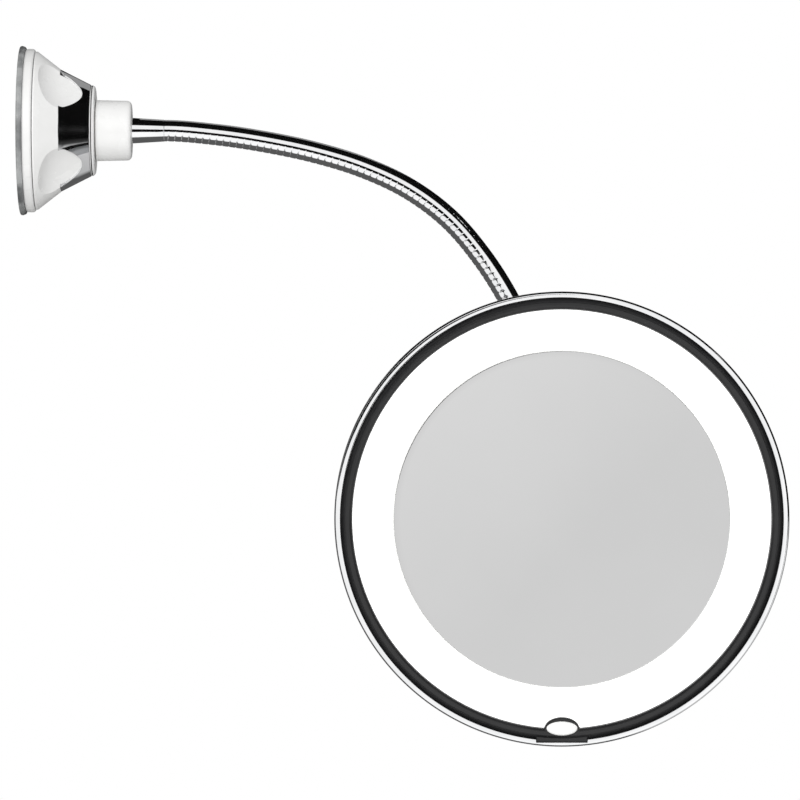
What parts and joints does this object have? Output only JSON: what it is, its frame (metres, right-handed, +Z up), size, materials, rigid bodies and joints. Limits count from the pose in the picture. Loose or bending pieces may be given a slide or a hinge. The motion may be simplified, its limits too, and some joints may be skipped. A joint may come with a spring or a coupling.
{
  "type": "extendable shaving mirror",
  "caption": "Round lit magnifying mirror on a self-holding flexible neck, with a ball joint behind the head and a twist-lock suction base.",
  "frame": {"origin": "centre of the suction face, on the wall plane", "axes": "+X away from the wall along the base's axis, +Z up, the mirror looks along -Y at rest"},
  "size_m": [0.3004, 0.1471, 0.274],
  "materials": {
    "white_abs": "satin",
    "chrome_plate": "polished",
    "neck_steel": "polished",
    "cup_vinyl": "satin",
    "black_abs": "satin",
    "opal_diffuser": "satin",
    "silvered_glass": "polished",
    "silver_shell": "satin",
    "foam": "matte",
    "tray_abs": "matte",
    "steel": "satin",
    "brass_plate": "satin",
    "acetal": "satin",
    "board_green": "satin",
    "chip_yellow": "satin",
    "cell_wrap": "satin",
    "switch_black": "matte",
    "wire_red": "satin",
    "button_white": "gloss"
  },
  "bodies": {
    "base": {"suction_cup": "cup_vinyl", "base_plate": "white_abs", "stem": "acetal", "stem_screws": "steel", "thrust_washer": "acetal", "stem_clip": "steel", "neck_collar": "white_abs", "collar_screw": "steel", "neck_nut": "steel", "base_ferrule": "chrome_plate"},
    "knob": {"cam_ring": "acetal", "lock_knob": "white_abs", "plated_cone": "chrome_plate", "knob_cap": "white_abs"},
    "stud": {"lock_stud": "steel", "cross_pin": "steel"},
    "neck_01": {"neck_01": "neck_steel"},
    "neck_02": {"neck_02": "neck_steel"},
    "neck_03": {"neck_03": "neck_steel"},
    "neck_04": {"neck_04": "neck_steel"},
    "neck_05": {"neck_05": "neck_steel"},
    "neck_06": {"neck_06": "neck_steel"},
    "neck_07": {"neck_07": "neck_steel"},
    "neck_08": {"neck_08": "neck_steel"},
    "neck_09": {"neck_09": "neck_steel"},
    "neck_10": {"neck_10": "neck_steel"},
    "neck_11": {"neck_11": "neck_steel"},
    "neck_12": {"neck_12": "neck_steel"},
    "neck_13": {"neck_13": "neck_steel"},
    "neck_14": {"neck_14": "neck_steel"},
    "neck_tip": {"head_ferrule": "chrome_plate"},
    "ball": {"ball_stud": "chrome_plate"},
    "ball_liner": {"ball_liner": "acetal"},
    "head": {"socket_cup": "black_abs", "socket_cap": "chrome_plate", "socket_screws": "steel", "rear_shell": "silver_shell", "rim_ring": "chrome_plate", "bezel_ring": "black_abs", "light_diffuser": "opal_diffuser", "mirror_glass": "silvered_glass", "mirror_pad": "foam", "light_tray": "tray_abs", "tray_screws": "steel", "led_board": "board_green", "light_chips": "chip_yellow", "battery_box": "switch_black", "batteries": "cell_wrap", "battery_contacts": "brass_plate", "control_board": "board_green", "power_switch": "switch_black", "lead_wires": "wire_red"},
    "battery_door": {"battery_door": "silver_shell"},
    "power_button": {"power_button": "button_white"}
  },
  "joints": [
    {"name": "knob_turn", "type": "hinge", "parent": "base", "child": "knob", "pos_m": [0.02, 0, 0], "axis": [1, 0, 0], "range_deg": [0, 90]},
    {"name": "stud_lift", "type": "slide", "parent": "base", "child": "stud", "axis": [1, 0, 0], "range_m": [0, 0.0025], "deforming": ["suction_cup"]},
    {"name": "neck_bend_1", "type": "hinge", "parent": "base", "child": "neck_01", "pos_m": [0.0592, 0, 0], "axis": [0, 1, 0], "range_deg": [-14, 14]},
    {"name": "neck_sway_1", "type": "hinge", "parent": "neck_01", "child": "neck_02", "pos_m": [0.0791, 0, -0.00167], "axis": [0.1167, 0, 0.9932], "range_deg": [-14, 14]},
    {"name": "neck_bend_2", "type": "hinge", "parent": "neck_02", "child": "neck_03", "pos_m": [0.09885, 0, -0.00466], "axis": [0, 1, 0], "range_deg": [-14, 14]},
    {"name": "neck_sway_2", "type": "hinge", "parent": "neck_03", "child": "neck_04", "pos_m": [0.11837, 0, -0.00884], "axis": [0.2538, 0, 0.9673], "range_deg": [-14, 14]},
    {"name": "neck_bend_3", "type": "hinge", "parent": "neck_04", "child": "neck_05", "pos_m": [0.13744, 0, -0.01478], "axis": [0, 1, 0], "range_deg": [-14, 14]},
    {"name": "neck_sway_3", "type": "hinge", "parent": "neck_05", "child": "neck_06", "pos_m": [0.15549, 0, -0.02332], "axis": [0.515, 0, 0.8572], "range_deg": [-14, 14]},
    {"name": "neck_bend_4", "type": "hinge", "parent": "neck_06", "child": "neck_07", "pos_m": [0.1715, 0, -0.03525], "axis": [0, 1, 0], "range_deg": [-14, 14]},
    {"name": "neck_sway_4", "type": "hinge", "parent": "neck_07", "child": "neck_08", "pos_m": [0.18455, 0, -0.05037], "axis": [0.8023, 0, 0.5969], "range_deg": [-14, 14]},
    {"name": "neck_bend_5", "type": "hinge", "parent": "neck_08", "child": "neck_09", "pos_m": [0.19528, 0, -0.06721], "axis": [0, 1, 0], "range_deg": [-14, 14]},
    {"name": "neck_sway_5", "type": "hinge", "parent": "neck_09", "child": "neck_10", "pos_m": [0.20372, 0, -0.08531], "axis": [0.7658, 0.5815, 0.2744], "range_deg": [-14, 14]},
    {"name": "neck_bend_6", "type": "hinge", "parent": "neck_10", "child": "neck_11", "pos_m": [0.20987, -0.00174, -0.10423], "axis": [-0.7983, 0.5181, -0.307], "range_deg": [-14, 14]},
    {"name": "neck_sway_6", "type": "hinge", "parent": "neck_11", "child": "neck_12", "pos_m": [0.21282, -0.00824, -0.12288], "axis": [0.3117, 0.8476, -0.4294], "range_deg": [-14, 14]},
    {"name": "neck_bend_7", "type": "hinge", "parent": "neck_12", "child": "neck_13", "pos_m": [0.21365, -0.02054, -0.13859], "axis": [-0.9928, 0.0636, -0.1018], "range_deg": [-14, 14]},
    {"name": "neck_sway_7", "type": "hinge", "parent": "neck_13", "child": "neck_14", "pos_m": [0.21365, -0.03747, -0.14918], "axis": [0, 0.3746, -0.9272], "range_deg": [-14, 14]},
    {"name": "neck_bend_8", "type": "hinge", "parent": "neck_14", "child": "neck_tip", "pos_m": [0.21365, -0.05701, -0.15333], "axis": [-1, 0, 0], "range_deg": [-14, 14]},
    {"name": "head_spin", "type": "hinge", "parent": "neck_tip", "child": "ball", "pos_m": [0.21365, -0.08561, -0.15333], "axis": [0, 1, 0], "continuous": true},
    {"name": "head_tilt", "type": "hinge", "parent": "ball", "child": "ball_liner", "pos_m": [0.21365, -0.08561, -0.15333], "axis": [1, 0, 0], "range_deg": [-25, 25]},
    {"name": "head_turn", "type": "hinge", "parent": "ball_liner", "child": "head", "pos_m": [0.21365, -0.08561, -0.15333], "axis": [0, 0, 1], "range_deg": [-25, 25]},
    {"name": "button_press", "type": "slide", "parent": "head", "child": "power_button", "axis": [0, 1, 0], "range_m": [0, 0.0008], "stiffness_N_per_m": 600, "springref_m": -0.0005},
    {"name": "door_lift_off", "type": "slide", "parent": "head", "child": "battery_door", "axis": [0, 1, 0], "range_m": [0, 0.015]}
  ],
  "couplings": [
    {"joint": "stud_lift", "follows": "knob_turn", "m_per_rad": 0.00159}
  ]
}
